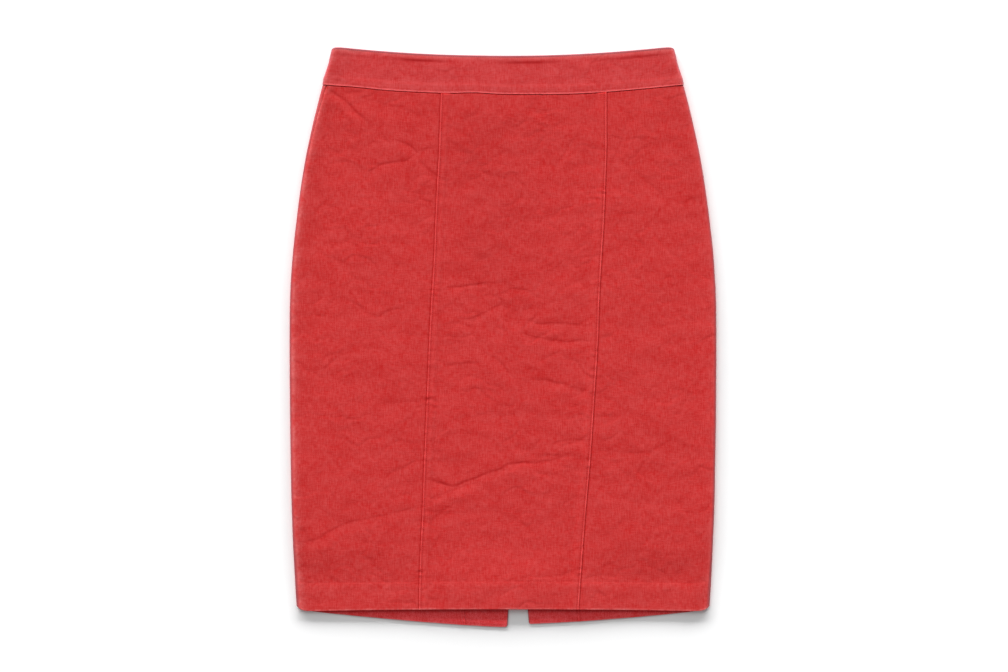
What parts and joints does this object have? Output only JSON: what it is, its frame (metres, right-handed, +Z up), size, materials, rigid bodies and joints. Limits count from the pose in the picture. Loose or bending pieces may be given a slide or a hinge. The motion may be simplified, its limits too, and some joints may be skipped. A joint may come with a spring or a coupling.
{
  "type": "pencil skirt",
  "caption": "Knee-length denim pencil skirt lying flat, with a shaped waistband, gored front and back, turned hem, open back slit and a closed centre-back zip with a hinged pull tab.",
  "frame": {"origin": "middle of the flat underside, at the bottom centre of the bounding box", "axes": "+Y from the hem to the waist, +X to the right seen from above, +Z up out of the front of the skirt; it lies on its back"},
  "size_m": [0.4686, 0.636, 0.0083],
  "materials": {
    "denim": "washed coral-red denim, fine mottled twill, matt with a faint nap",
    "band_denim": "the same washed red denim, slightly paler and stiffer over interfacing",
    "zip_tape": "matt woven polyester tape with a nylon coil",
    "zip_metal": "satin red enamel over cast zinc"
  },
  "bodies": {
    "skirt": {"front_centre": "denim", "front_side_left": "denim", "front_side_right": "denim", "back_centre_left": "denim", "back_centre_right": "denim", "back_side_left": "denim", "back_side_right": "denim", "waistband_front": "band_denim", "waistband_back_left": "band_denim", "waistband_back_right": "band_denim", "zip_tape": "zip_tape", "zip_slider": "zip_metal"},
    "pull_tab": {"zip_pull": "zip_metal"}
  },
  "joints": [
    {"name": "pull_tab_swing", "type": "hinge", "parent": "skirt", "child": "pull_tab", "pos_m": [-0.02601, 0.3015, 0.0011], "axis": [0.9959, 0.0904, 0], "range_deg": [0, 170]}
  ]
}
